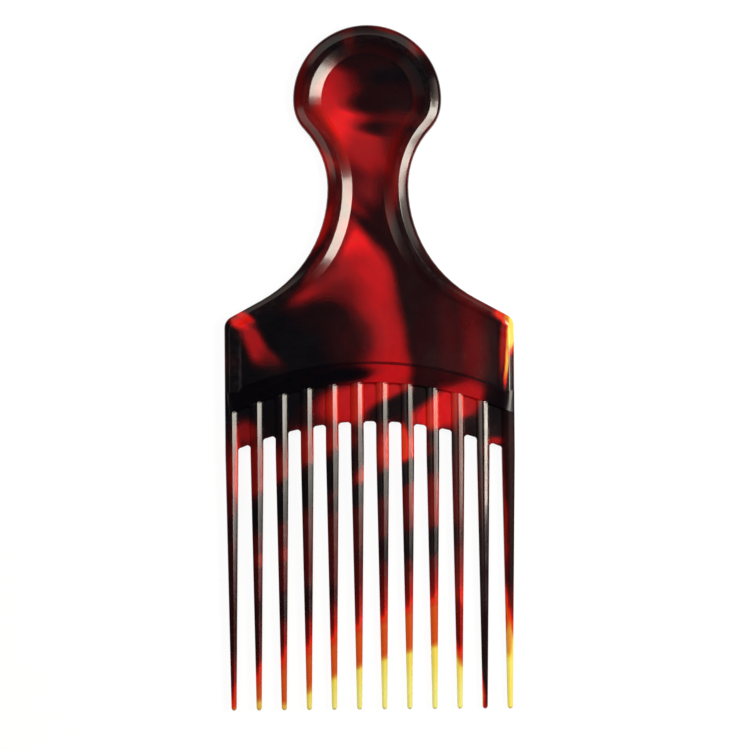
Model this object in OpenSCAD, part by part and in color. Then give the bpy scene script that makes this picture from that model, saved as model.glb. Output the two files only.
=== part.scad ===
// Afro pick: one moulding, drawn as its handle rim, sunk panel, comb back, webs and teeth.
// The pick lies flat. X runs across it, Y runs from the tooth tips to the head, Z is up.
// The origin is on the surface that it lies on, under the middle of its length and width.

/* [Overall] */
// Length from the top of the head to the tooth tips
length = 170; // [160:1:190]
// Width over the blade, and over the two outer teeth
blade_w = 71.8; // [66:0.2:80]
// Thickness over the rim, the comb back and the ridges of the teeth
thickness = 4.4; // [4.2:0.1:6]

/* [Handle outline] */
// Diameter of the round head
head_d = 36.8; // [34:0.2:42]
// Radius of the turn from the head into the neck
head_turn_r = 10; // [8.5:0.5:12]
// Angle below its widest line at which the head starts to turn in
head_wrap = 4.5; // [0:0.5:8]
// Width of the neck where it is narrowest
neck_w = 20.1; // [17:0.1:24]
// Distance from the top of the head to the narrowest place
neck_drop = 40.2; // [38:0.2:44]
// Radius of the long hollow that runs from the neck to the shoulder
neck_flare_r = 31.8; // [26:0.2:34]
// Angle of the shoulders below the horizontal
shoulder_angle = 28.5; // [24:0.5:34]
// Radius of the shoulder corners
shoulder_r = 3.1; // [2:0.1:4]
// Height of a side, from the shoulder corner to the lower corner of the panel
side_h = 16.5; // [12:0.5:22]

/* [Rim] */
// Width of the rim round the head, from the outline to the edge of its slope
head_rim_w = 3.9; // [3:0.1:5]
// Width of the rim at the neck
neck_rim_w = 3.7; // [2.8:0.1:4]
// Width of the rim along the shoulders
shoulder_rim_w = 1.9; // [1.8:0.1:2.6]
// Width of the rim down the sides
side_rim_w = 3.3; // [2.4:0.1:4.5]
// Width of the slope from the rim down to the panel, round the head
head_slope_w = 3.1; // [2:0.1:4]
// Width of that slope at the neck
neck_slope_w = 2.5; // [2:0.1:3.6]
// Width of that slope along the shoulders
shoulder_slope_w = 1.3; // [0.8:0.1:2]
// Width of that slope down the sides and along the comb back
blade_slope_w = 0.9; // [0.6:0.1:1.4]
// Width of the bevel that falls from the rim to the edge, round the head
head_bevel_w = 2.7; // [1.5:0.1:2.9]
// Width of that bevel at the neck
neck_bevel_w = 2.5; // [1.5:0.1:2.5]
// Inner corner radius of the rim at the shoulders
panel_corner_r = 1; // [0.5:0.1:2]

/* [Panel] */
// Depth of the panel below the rim in the handle
handle_depth = 1; // [0.6:0.1:1.4]
// Depth of the panel below the rim in the blade
blade_depth = 0.15; // [0.1:0.05:0.6]

/* [Comb back] */
// Radius of the arches across the blade: the panel's foot, the tops of the tooth ribs and of the gaps
arch_r = 84; // [70:1:110]
// Height of the comb back on the centre line
back_h = 5.1; // [3:0.1:9]

/* [Web] */
// Height of the web on the centre line
web_h = 9.8; // [5:0.2:14]
// Thickness of the web
web_t = 2.4; // [1.6:0.1:2.8]
// Width of the slope from the comb back down to the web
web_slope_w = 0.5; // [0.2:0.1:1]
// Radius in the upper corners of the pocket over a web
pocket_corner_r = 0.6; // [0.3:0.1:1]
// Radius in the corners at the top of a gap
gap_corner_r = 0.8; // [0.3:0.1:1.2]
// Radius of the soft edge along the top of a gap
gap_edge_r = 0.5; // [0.2:0.1:0.7]

/* [Teeth] */
// Width of a tooth at its root
tooth_w = 3.2; // [2.6:0.1:4]
// Width of a tooth where its tip starts to round off
tip_w = 1.3; // [0.8:0.1:2]
// Thickness of a tooth where its tip starts to round off
tip_t = 1.7; // [1:0.1:2.4]
// Length of the rounded end of a tooth
tip_round = 0.8; // [0.3:0.1:2]
// Width of the flat along the ridge of a tooth
ridge_flat = 0.5; // [0.2:0.05:0.8]
// Length over which the bevels of a rib rise to the comb back
rib_end_r = 0.5; // [0.2:0.1:0.8]

/* [Edges] */
// Width of the rounded corner between the bevel and the edge, round the handle
handle_edge_round_w = 0.8; // [0.5:0.05:1]
// Width of that corner on the sides and the teeth
edge_round_w = 0.4; // [0.3:0.05:0.7]
// Fall of the bevel from the rim to its rounded corner, round the handle
handle_bevel_fall = 0.75; // [0.4:0.05:0.8]
// Fall of that bevel on the sides and the teeth
blade_bevel_fall = 0.45; // [0.3:0.05:0.6]
// Thickness of the upright edge of the handle
handle_edge_t = 1.2; // [0.6:0.1:1.6]
// Width of the soft corners along the rim
crest_round = 0.3; // [0.1:0.05:0.35]

/* [Hidden] */

// Teeth, one node each
teeth = 12;
// Overrun of every cut past the face that it starts from
overrun = 1;

// Facets of one turn of the arches
arch_fn = 720;
// Steps round each part of the outline
head_steps = 26;
turn_steps = 6;
hollow_steps = 8;
flare_steps = 14;
corner_steps = 7;
// Steps along the arch, the ramp of the panel, and each corner, top and soft edge of a gap
arch_steps = 32;
ramp_steps = 16;
gap_corner_steps = 4;
gap_top_steps = 3;
gap_edge_steps = 3;
// Stages of the rise at the end of a rib
rib_stage_shares = [0, 0.15, 0.5, 1];
// Stages of the rounded tip, and the size that the last of them keeps
tip_stage_shares = [0.35, 0.65, 0.88, 1];
tip_end_share = 0.3;

half_w = blade_w / 2;
half_t = thickness / 2;
head_r = head_d / 2;
top_y = length / 2;
tip_y = -length / 2;

// Outline of the handle, right half, as arcs that run into each other.
// An angle is that of the outward normal, counted from +X.
function direction(angle) = [cos(angle), sin(angle)];
function mix(a, b, share) = a + (b - a) * share;
function bend(a, corner, b, share) = mix(mix(a, corner, share), mix(corner, b, share), share);
function ease(share) = (1 - cos(180 * share)) / 2;
function late_ease(share) = ease(pow(share, 2));
function mirrored(points) = [for (point = points) [-point.x, point.y, point.z]];
function reversed(list) = [for (i = [len(list) - 1 : -1 : 0]) list[i]];

// Stages of the outline's right half, from the top of the head to the foot of the side
HEAD_ARC = 0;
TURN_ARC = 1;
HOLLOW_ARC = 2;
FLARE_ARC = 3;
CORNER_ARC = 4;
SIDE_END = 5;

head_centre = [0, top_y - head_r];
turn_centre = head_centre + (head_r - head_turn_r) * direction(-head_wrap);
neck_y = top_y - neck_drop;
neck_x = neck_w / 2;
turn_to_neck = [neck_x - turn_centre.x, turn_centre.y - neck_y];
hollow_r = (turn_to_neck * turn_to_neck - pow(head_turn_r, 2)) / (2 * (head_turn_r - turn_to_neck.x));
hollow_centre = [neck_x + hollow_r, neck_y];
hollow_angle = atan2(turn_centre.y - neck_y, hollow_centre.x - turn_centre.x);
flare_centre = [neck_x + neck_flare_r, neck_y];

// Widths along the outline, each given round the head, at the neck, on the shoulder and on the side
HEAD = 0;
NECK = 1;
SHOULDER = 2;
SIDE = 3;
edge_line = [0, 0, 0, 0];
bevel_foot = [handle_edge_round_w, handle_edge_round_w, edge_round_w, edge_round_w];
blade_bevel_w = (tooth_w - ridge_flat) / 2;
bevel_top = [head_bevel_w, neck_bevel_w, blade_bevel_w, blade_bevel_w];
rim_edge = [head_rim_w, neck_rim_w, shoulder_rim_w, side_rim_w];
slope_w = [head_slope_w, neck_slope_w, shoulder_slope_w, blade_slope_w];
slope_foot = rim_edge + slope_w;
function corner_r(inset) = max(shoulder_r - inset[SIDE], panel_corner_r);
function corner_x(inset) = half_w - inset[SIDE] - corner_r(inset);

// The flare turns on to the shoulders. Where the blade is too narrow for that, the flare ends
// where it meets the corner of the panel, and the shoulders follow it
flare_to_corner = flare_centre.x - corner_x(slope_foot);
flare_reach = neck_flare_r + slope_foot[SHOULDER] + corner_r(slope_foot);
flare_angle = min(90 - shoulder_angle, acos(flare_to_corner / flare_reach));
flare_end = flare_centre - neck_flare_r * direction(flare_angle);
shoulder_y = flare_end.y - (half_w - flare_end.x) * tan(90 - flare_angle);

// Heights above the middle plane at the same four places
crest_z = half_t * [1, 1, 1, 1];
bevel_foot_z = crest_z - [handle_bevel_fall, handle_bevel_fall, blade_bevel_fall, blade_bevel_fall];
edge_z = [handle_edge_t, handle_edge_t, web_t, web_t] / 2;

// Such a width at a stage of the path and a share of that stage: it eases in to the neck, and from
// there it changes late, so that the rim stays broad well down the flare
turn_share = (hollow_angle - head_wrap) / (2 * hollow_angle - head_wrap);
function along(values, stage, share) =
    stage == HEAD_ARC ? values[HEAD] :
    stage == TURN_ARC ? mix(values[HEAD], values[NECK], ease(share * turn_share)) :
    stage == HOLLOW_ARC ? mix(values[HEAD], values[NECK], ease(mix(turn_share, 1, share))) :
    stage == FLARE_ARC ? mix(values[NECK], values[SHOULDER], late_ease(share)) :
    stage == CORNER_ARC ? mix(values[SHOULDER], values[SIDE], share) :
    values[SIDE];

function corner_centre(inset) =
    let (normal = direction(flare_angle),
         x = corner_x(inset))
    [x, (normal * flare_end - inset[SHOULDER] - corner_r(inset) - normal.x * x) / normal.y];

function line_point(inset, stage, share) =
    let (gap = along(inset, stage, share))
    stage == HEAD_ARC ? head_centre + (head_r - gap) * direction(mix(90, -head_wrap, share)) :
    stage == TURN_ARC ? turn_centre + (head_turn_r - gap) * direction(mix(-head_wrap, -hollow_angle, share)) :
    stage == HOLLOW_ARC ? hollow_centre - (hollow_r + gap) * direction(mix(-hollow_angle, 0, share)) :
    stage == FLARE_ARC ? flare_centre - (neck_flare_r + gap) * direction(flare_angle * share) :
    stage == CORNER_ARC ? corner_centre(inset) + corner_r(inset) * direction(flare_angle * (1 - share)) :
    [half_w - gap, side_end_y(gap)];

// The lower end of a side is flat, and mitred over the slope, where the slope turns into the arch
panel_foot_y = shoulder_y - side_h;
panel_foot_r = arch_r + blade_slope_w;
panel_foot_x = half_w - slope_foot[SIDE];
panel_arch_y = panel_foot_y - sqrt(pow(panel_foot_r, 2) - pow(panel_foot_x, 2));
rim_foot_x = half_w - rim_edge[SIDE];
rim_foot_y = panel_arch_y + sqrt(pow(arch_r, 2) - pow(rim_foot_x, 2));
function side_end_y(gap) =
    gap <= rim_edge[SIDE] ? rim_foot_y :
    mix(rim_foot_y, panel_foot_y, (gap - rim_edge[SIDE]) / slope_w[SIDE]);

// Places along the right half of the path, as a stage and a share of it
function stage_places(stage, steps) = [for (i = [1 : steps]) [stage, i / steps]];
right_places = concat([[HEAD_ARC, 0]], stage_places(HEAD_ARC, head_steps),
                      stage_places(TURN_ARC, turn_steps), stage_places(HOLLOW_ARC, hollow_steps),
                      stage_places(FLARE_ARC, flare_steps), [[CORNER_ARC, 0]],
                      stage_places(CORNER_ARC, corner_steps), [[SIDE_END, 1]]);

// Depth of the panel: full down to the neck, then easing to its depth in the blade, late in the flare
function panel_depth(y) =
    y >= neck_y ? handle_depth :
    y <= flare_end.y ? blade_depth :
    mix(handle_depth, blade_depth, late_ease((neck_y - y) / (neck_y - flare_end.y)));

// The rim's section, from the foot of its slope over the crest to the edge.
// Each entry is the way in from the outline, the height, and the share of the panel's depth taken off.
slope_start = rim_edge + crest_round * [1, 1, 1, 1];
slope_start_share = crest_round / head_slope_w;
crest_in = rim_edge - crest_round / 2 * [1, 1, 1, 1];
crest_mid_share = 0.5;
bevel_start_share = 0.15;
bevel_start = mix(bevel_top, bevel_foot, bevel_start_share);
bevel_start_z = mix(crest_z, bevel_foot_z, bevel_start_share);
bevel_run = bevel_top - bevel_foot;
bevel_rise = crest_z - bevel_foot_z;
edge_corner_z = [for (i = [HEAD : SIDE]) bevel_foot_z[i] - bevel_foot[i] * bevel_rise[i] / bevel_run[i]];
edge_bend_shares = [0, 0.35, 0.7, 1];
inner_section = [[slope_foot, crest_z, 1],
                 [slope_start, crest_z, slope_start_share],
                 [bend(slope_start, rim_edge, crest_in, crest_mid_share), crest_z,
                  bend(slope_start_share, 0, 0, crest_mid_share)],
                 [crest_in, crest_z, 0],
                 [bevel_top, crest_z, 0]];
outer_section = concat(
    [[bevel_start, bevel_start_z, 0]],
    [for (share = edge_bend_shares)
        [bend(bevel_foot, edge_line, edge_line, share),
         bend(bevel_foot_z, edge_corner_z, edge_z, share), 0]]);
front_section = concat(inner_section, outer_section);

// Points of the section at a place, on the front for side 1 and on the back for side -1
function section_point(entry, place, side) =
    let (point = line_point(entry[0], place[0], place[1]),
         height = along(entry[1], place[0], place[1]) - entry[2] * panel_depth(point.y))
    [point.x, point.y, half_t + side * height];
function section_ring(place) = concat(
    [for (entry = front_section) section_point(entry, place, 1)],
    [for (entry = reversed(front_section)) section_point(entry, place, -1)]);

// A skin over rings of points that are alike front and back, closed at both ends
module skin(rings) {
    count = len(rings[0]);
    last = len(rings) - 1;
    side_faces = [for (j = [0 : last - 1], i = [0 : count - 1])
        let (a = j * count + i, b = j * count + (i + 1) % count)
        each [[a, b, a + count], [b, b + count, a + count]]];
    start_face = [for (i = [0 : count / 2 - 2])
        each [[i, count - 1 - i, i + 1], [i + 1, count - 1 - i, count - 2 - i]]];
    end_face = [for (face = start_face) reversed([for (i = face) i + last * count])];
    polyhedron([for (ring = rings) each ring], concat(side_faces, start_face, end_face), convexity = 10);
}

module handle_rim() {
    right_rings = [for (place = right_places) section_ring(place)];
    left_rings = [for (i = [len(right_rings) - 1 : -1 : 1]) mirrored(right_rings[i])];
    color([0.36, 0.08, 0.09]) skin(concat(left_rings, right_rings));
}

// Arches, each a circle about a point on the centre line
rib_arch_y = panel_arch_y + blade_slope_w - back_h;
gap_arch_y = rib_arch_y - web_h;
function arch_height(centre_y, radius, x) = centre_y + sqrt(pow(radius, 2) - pow(x, 2));
panel_arch_points = [for (i = [1 : arch_steps - 1])
    let (x = panel_foot_x * (1 - 2 * i / arch_steps)) [x, arch_height(panel_arch_y, panel_foot_r, x)]];

module handle_panel() {
    right_line = [for (place = right_places) line_point(slope_foot, place[0], place[1])];
    left_line = [for (i = [len(right_line) - 1 : -1 : 1]) [-right_line[i].x, right_line[i].y]];
    ramp = [for (i = [0 : ramp_steps]) mix(neck_y, flare_end.y, i / ramp_steps)];
    levels = concat([top_y + overrun], ramp, [tip_y]);
    front = [for (y = levels) [y, half_t - panel_depth(y)]];
    color([0.72, 0.10, 0.12]) intersection() {
        linear_extrude(thickness) polygon(concat(left_line, right_line, panel_arch_points));
        translate([-half_w, 0, half_t]) rotate([90, 0, 90]) linear_extrude(blade_w)
            polygon(concat(front, reversed([for (p = front) [p.x, -p.y]])));
    }
}

// Section across the comb back, with the edges that the rim and the outer teeth have
module back_section() {
    side_edge = [for (entry = concat([[bevel_top, crest_z]], outer_section))
        [half_w - entry[0][SIDE], entry[1][SIDE]]];
    right_edge = concat(side_edge, reversed([for (p = side_edge) [p.x, -p.y]]));
    polygon(concat(right_edge, reversed([for (p = right_edge) [-p.x, p.y]])));
}

// Plan of the comb back, down to the ends of the rib arch
module back_plan() {
    right_end = [[half_w, tip_y], [half_w, rim_foot_y], [rim_foot_x, rim_foot_y],
                 [panel_foot_x, panel_foot_y]];
    polygon(concat(right_end, panel_arch_points, reversed([for (p = right_end) [-p.x, p.y]])));
}

// The slope from the comb back up to the panel's floor, cut from one face
module back_slope() {
    fall = blade_depth / blade_slope_w * overrun;
    intersection() {
        translate([0, panel_arch_y, half_t]) rotate_extrude($fn = arch_fn) polygon([
            [arch_r - overrun, half_t + fall],
            [panel_foot_r + overrun, half_t - blade_depth - fall],
            [panel_foot_r + overrun, half_t + fall]]);
        translate([-rim_foot_x, rim_foot_y - overrun, 0])
            cube([2 * rim_foot_x, top_y - rim_foot_y, thickness + 2 * overrun]);
    }
}

module comb_back() {
    color([0.20, 0.05, 0.07]) difference() {
        intersection() {
            translate([0, top_y, half_t]) rotate([90, 0, 0]) linear_extrude(length) back_section();
            linear_extrude(thickness) back_plan();
        }
        back_slope();
        translate([0, 0, thickness]) mirror([0, 0, 1]) back_slope();
        translate([0, rib_arch_y, -overrun])
            cylinder(r = arch_r, h = thickness + 2 * overrun, $fn = arch_fn);
    }
}

// Teeth, equally spaced, with the outer edges of the outer two in line with the sides
pitch = (blade_w - tooth_w) / (teeth - 1);
gap_w = pitch - tooth_w;
root_y = arch_height(gap_arch_y, arch_r, half_w);
function tooth_x(number) = (number - (teeth + 1) / 2) * pitch;

// Section of a tooth, from the ridge to the upright flank, as the way out and the height
flank_section = [for (entry = outer_section) [tooth_w / 2 - entry[0][SIDE], entry[1][SIDE]]];
ridge_section = concat([[ridge_flat / 2, half_t]], flank_section);
tooth_section = concat(reversed([for (p = ridge_section) [-p.x, p.y]]), ridge_section);

function tooth_ring(number, section, wide, thick, y) = concat(
    [for (p = section) [tooth_x(number) + p.x * wide, y, half_t + p.y * thick]],
    [for (p = reversed(section)) [tooth_x(number) + p.x * wide, y, half_t - p.y * thick]]);

// Ring near the end of a rib. Its bevels rise there, but not those on the two sides of the comb
function rib_ring(number, share) =
    let (fall = sqrt(1 - pow(1 - share, 2)),
         outward = number == 1 ? -1 : number == teeth ? 1 : 0,
         section = [for (p = tooth_section) [p.x, p.x * outward > 0 ? p.y : mix(half_t, p.y, fall)]])
    [for (p = tooth_ring(number, section, 1, 1, 0))
        [p.x, arch_height(rib_arch_y, arch_r, p.x) - rib_end_r * share, p.z]];

module tooth(number) {
    wide = tip_w / tooth_w;
    thick = tip_t / thickness;
    tip_rings = [for (share = tip_stage_shares)
        let (size = max(sqrt(1 - pow(share, 2)), tip_end_share))
        tooth_ring(number, tooth_section, wide * size, thick * size, tip_y + tip_round * (1 - share))];
    color([0.55, 0.12, 0.10]) skin(concat(
        [for (share = rib_stage_shares) rib_ring(number, share)],
        [tooth_ring(number, tooth_section, 1, 1, root_y)],
        [tooth_ring(number, tooth_section, wide, thick, tip_y + tip_round)],
        tip_rings));
}

// Lines across one gap at x: the top of the gap, moved up by a rise, and the foot of the slope from
// the comb back, which is drawn down in the corners of the pocket
function gap_left(number) = tooth_x(number) + tooth_w / 2;
function gap_line(number, x, rise) =
    let (left = gap_left(number) + gap_corner_r,
         right = gap_left(number) + gap_w - gap_corner_r,
         corner = x < left ? left : right)
    x >= left && x <= right ? arch_height(gap_arch_y, arch_r + rise, x) :
    arch_height(gap_arch_y, arch_r, corner) - gap_corner_r
        + sqrt(max(pow(gap_corner_r + rise, 2) - pow(x - corner, 2), 0));
function pocket_line(number, x) =
    let (from_tooth = min(x - gap_left(number), gap_left(number) + gap_w - x),
         turn = max(pocket_corner_r - from_tooth, 0))
    arch_height(rib_arch_y, arch_r - web_slope_w, x) - pocket_corner_r
        + sqrt(max(pow(pocket_corner_r, 2) - pow(turn, 2), 0));

// Section of the soft edge along the top of a gap, as the rise and the fall from the web's face
gap_edge = [for (i = [0 : gap_edge_steps])
    gap_edge_r * [1 - cos(90 * i / gap_edge_steps), sin(90 * i / gap_edge_steps) - 1]];

// Section of a web at x, from the top of its gap over its face and slope to the comb back
function web_ring(number, x) =
    let (front = concat([for (p = gap_edge) [gap_line(number, x, p.x), web_t / 2 + p.y]],
                        [[pocket_line(number, x), web_t / 2],
                         [arch_height(rib_arch_y, arch_r, x), half_t]]))
    concat([for (p = front) [x, p.x, half_t + p.y]],
           [for (p = reversed(front)) [x, p.x, half_t - p.y]]);

// One web, through sections that lie closest in its corners
module web(number) {
    left = gap_left(number);
    corner = [for (i = [0 : gap_corner_steps]) gap_corner_r * (1 - cos(90 * i / gap_corner_steps))];
    top_step = (gap_w - 2 * gap_corner_r) / gap_top_steps;
    stations = concat([for (way = corner) left + way],
                      [for (i = [1 : gap_top_steps - 1]) left + gap_corner_r + i * top_step],
                      [for (way = reversed(corner)) left + gap_w - way]);
    skin([for (x = stations) web_ring(number, x)]);
}

module tooth_web() {
    color([0.66, 0.09, 0.11]) for (number = [1 : teeth - 1]) web(number);
}

handle_rim();
handle_panel();
comb_back();
tooth_web();
tooth(1);  // tooth_01
tooth(2);  // tooth_02
tooth(3);  // tooth_03
tooth(4);  // tooth_04
tooth(5);  // tooth_05
tooth(6);  // tooth_06
tooth(7);  // tooth_07
tooth(8);  // tooth_08
tooth(9);  // tooth_09
tooth(10);  // tooth_10
tooth(11);  // tooth_11
tooth(12);  // tooth_12
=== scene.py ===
"""Afro pick: dresses the moulding in tortoiseshell plastic and lays it on a white table."""
import logging
import math
from dataclasses import dataclass
from enum import Enum

import bmesh
import bpy
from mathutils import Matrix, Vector


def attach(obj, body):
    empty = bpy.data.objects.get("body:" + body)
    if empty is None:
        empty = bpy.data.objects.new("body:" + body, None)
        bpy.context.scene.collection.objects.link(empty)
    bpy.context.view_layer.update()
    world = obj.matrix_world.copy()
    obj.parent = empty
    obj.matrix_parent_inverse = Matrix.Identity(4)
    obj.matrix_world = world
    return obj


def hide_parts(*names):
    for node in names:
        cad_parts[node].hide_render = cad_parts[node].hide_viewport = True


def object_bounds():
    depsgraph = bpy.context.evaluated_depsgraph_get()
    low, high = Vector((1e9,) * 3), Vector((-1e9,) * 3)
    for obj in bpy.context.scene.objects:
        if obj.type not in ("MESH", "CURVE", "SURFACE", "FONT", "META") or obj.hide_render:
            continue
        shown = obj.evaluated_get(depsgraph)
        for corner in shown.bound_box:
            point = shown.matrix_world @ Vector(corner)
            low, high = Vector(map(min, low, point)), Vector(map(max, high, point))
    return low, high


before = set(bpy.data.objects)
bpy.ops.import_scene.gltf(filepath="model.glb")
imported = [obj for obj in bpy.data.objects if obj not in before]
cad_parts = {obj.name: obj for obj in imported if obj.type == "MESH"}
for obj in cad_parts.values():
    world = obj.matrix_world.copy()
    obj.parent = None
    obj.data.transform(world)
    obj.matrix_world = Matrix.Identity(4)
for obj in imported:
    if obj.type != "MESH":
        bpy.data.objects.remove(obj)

CAD_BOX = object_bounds()
MM_IN_METRE = 1000.0
MM = 1 / MM_IN_METRE
ORIGIN = (0.0, 0.0, 0.0)
WHITE = (1.0, 1.0, 1.0, 1.0)
LOG = logging.getLogger("afro_pick")

Pair = tuple[float, float]
Triple = tuple[float, float, float]
Value = float | tuple | bpy.types.NodeSocket


class Body(Enum):
    """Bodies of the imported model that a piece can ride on."""

    ROOT = "root"


class Slot(Enum):
    """Material slots that the record names."""

    DARK = "dark_plastic"
    RED = "red_plastic"
    TOOTH = "tooth_plastic"


class Zone(Enum):
    """Parts of the moulding with pigment clouds of their own, and the names of their groups."""

    HANDLE = "Pigment clouds of the handle"
    COMB = "Pigment clouds of the comb"


class Socket(Enum):
    """Kinds of socket on a shader group."""

    VALUE = "NodeSocketFloat"
    VECTOR = "NodeSocketVector"
    COLOUR = "NodeSocketColor"


def linear(red: int, green: int, blue: int) -> tuple[float, float, float, float]:
    """Turns a display colour into the linear colour that a shader takes.

    Args:
        red: Red from 0 to 255.
        green: Green from 0 to 255.
        blue: Blue from 0 to 255.

    Returns:
        Linear red, green, blue and an alpha of one.
    """
    shares = [part / 255 for part in (red, green, blue)]
    curved = [s / 12.92 if s <= 0.04045 else ((s + 0.055) / 1.055) ** 2.4 for s in shares]
    return curved[0], curved[1], curved[2], 1.0


def grey(level: float) -> tuple[float, float, float, float]:
    """Makes a linear grey with an alpha of one."""
    return level, level, level, 1.0


def linked(name: str, data: bpy.types.ID) -> bpy.types.Object:
    """Makes an object and links it to the scene.

    Args:
        name: The object's name.
        data: Its mesh, lamp or camera.

    Returns:
        The new object.
    """
    made = bpy.data.objects.new(name, data)
    bpy.context.collection.objects.link(made)
    return made


class Graph:
    """Adds nodes to a node tree and links them."""

    def __init__(self, tree: bpy.types.NodeTree) -> None:
        """Keeps the tree that the nodes go in."""
        self.tree = tree

    def feed(self, socket: bpy.types.NodeSocket, value: Value) -> None:
        """Links an output to an input, or sets the input's own value.

        Args:
            socket: The input.
            value: The output that feeds it, or a number, vector or colour.
        """
        if isinstance(value, bpy.types.NodeSocket):
            self.tree.links.new(value, socket)
        else:
            socket.default_value = value

    def node(self, kind: str, values: dict[str | int, Value] | None = None,
             **settings: object) -> bpy.types.Node:
        """Adds a node.

        Args:
            kind: Type name of the node.
            values: Socket name or number to a value, or to the output that feeds it.
            settings: Attributes of the node itself.

        Returns:
            The new node.
        """
        made = self.tree.nodes.new(kind)
        for name, setting in settings.items():
            setattr(made, name, setting)
        for socket, value in (values or {}).items():
            self.feed(made.inputs[socket], value)
        return made

    def math(self, operation: str, *values: Value, clamp: bool = False) -> bpy.types.NodeSocket:
        """Adds a Math node.

        Args:
            operation: The operation's name.
            values: Numbers or outputs, in the order of the node's sockets.
            clamp: Whether the result is kept between zero and one.

        Returns:
            The node's result.
        """
        made = self.node("ShaderNodeMath", dict(enumerate(values)),
                         operation=operation, use_clamp=clamp)
        return made.outputs[0]

    def vector(self, operation: str, *values: Value) -> bpy.types.NodeSocket:
        """Adds a Vector Math node with a vector result.

        Args:
            operation: The operation's name.
            values: Vectors or outputs, in the order of the node's sockets.

        Returns:
            The node's vector.
        """
        made = self.node("ShaderNodeVectorMath", dict(enumerate(values)), operation=operation)
        return made.outputs["Vector"]

    def part(self, where: Value, axis: str) -> bpy.types.NodeSocket:
        """Takes one axis, X, Y or Z, out of a vector."""
        return self.node("ShaderNodeSeparateXYZ", {0: where}).outputs[axis]

    def noise(self, where: bpy.types.NodeSocket, scale: float, detail: float,
              roughness: float = 0.5) -> bpy.types.Node:
        """Adds a Noise Texture.

        Args:
            where: Coordinates that it reads.
            scale: Cells for each unit of those coordinates.
            detail: Octaves on top of the first.
            roughness: Weight of each further octave.

        Returns:
            The node, with its Fac and Color outputs.
        """
        return self.node("ShaderNodeTexNoise", {
            "Vector": where, "Scale": scale, "Detail": detail, "Roughness": roughness})

    def laid(self, where: bpy.types.NodeSocket, size: Triple, turn: float,
             centre: Pair = (0.0, 0.0)) -> bpy.types.NodeSocket:
        """Turns coordinates into those of a patch, which are zero at its centre.

        Args:
            where: Coordinates that the patch lies in.
            size: What counts as one along the patch's own axes.
            turn: Turn of the patch about the upright axis, in degrees.
            centre: Where the patch's centre is.

        Returns:
            The patch's own coordinates.
        """
        made = self.node("ShaderNodeMapping", {
            "Vector": where, "Location": (*centre, 0.0),
            "Rotation": (0.0, 0.0, math.radians(turn)), "Scale": size}, vector_type="TEXTURE")
        return made.outputs[0]

    def blend(self, share: Value, low: Value, high: Value) -> bpy.types.NodeSocket:
        """Mixes two numbers by a share.

        Args:
            share: Zero gives low and one gives high.
            low: Number or output.
            high: Number or output.

        Returns:
            The mixed number.
        """
        made = self.node("ShaderNodeMix", {0: share, 2: low, 3: high}, data_type="FLOAT")
        return made.outputs[0]

    def ranged(self, value: bpy.types.NodeSocket, start: float, end: float, low: float = 0.0,
               high: float = 1.0, soft: bool = True) -> bpy.types.NodeSocket:
        """Maps a value on to another range, and keeps it inside.

        Args:
            value: The output that is read.
            start: Value that gives low.
            end: Value that gives high.
            low: Result at start.
            high: Result at end.
            soft: Whether it eases in and out.

        Returns:
            The mapped number.
        """
        made = self.node("ShaderNodeMapRange", {0: value, 1: start, 2: end, 3: low, 4: high},
                         interpolation_type="SMOOTHSTEP" if soft else "LINEAR")
        return made.outputs[0]


def blank_graph(owner: bpy.types.Material | bpy.types.World) -> Graph:
    """Empties the node tree of a material or a world.

    Args:
        owner: The material or the world.

    Returns:
        A graph on its empty tree.
    """
    owner.use_nodes = True
    owner.node_tree.nodes.clear()
    return Graph(owner.node_tree)


class ShaderGroup(Graph):
    """A shader node group with named inputs and outputs."""

    def __init__(self, name: str, inputs: dict[str, tuple[Socket, Value]],
                 outputs: dict[str, Socket]) -> None:
        """Makes the group's sockets.

        Args:
            name: The group's name.
            inputs: Socket name to its kind and its default value.
            outputs: Socket name to its kind.
        """
        super().__init__(bpy.data.node_groups.new(name, "ShaderNodeTree"))
        new_socket = self.tree.interface.new_socket
        for label, (kind, value) in inputs.items():
            made = new_socket(name=label, in_out="INPUT", socket_type=kind.value)
            made.default_value = value
        for label, kind in outputs.items():
            new_socket(name=label, in_out="OUTPUT", socket_type=kind.value)
        self.given = self.node("NodeGroupInput").outputs
        self.result = self.node("NodeGroupOutput").inputs

    def give(self, label: str, value: bpy.types.NodeSocket) -> None:
        """Links a value to an output of the group."""
        self.tree.links.new(value, self.result[label])

    def place(self, graph: Graph, **values: Value) -> bpy.types.Node:
        """Puts the group in a material.

        Args:
            graph: The material's graph.
            values: Input name to a value or an output.

        Returns:
            The group's node.
        """
        made = graph.node("ShaderNodeGroup", node_tree=self.tree)
        for label, value in values.items():
            graph.feed(made.inputs[label], value)
        return made


@dataclass(frozen=True)
class Swirl:
    """One cloud of pigment in the plastic, as a soft ellipse.

    Its centre and its half lengths are in millimetres and its turn in degrees. Its tone is a
    place on the scale of the shell's colours. Soft is how far to either side of its edge it
    fades, as a share of its size.
    """

    x: float
    y: float
    long: float
    short: float
    turn: float
    tone: float
    soft: float


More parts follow.
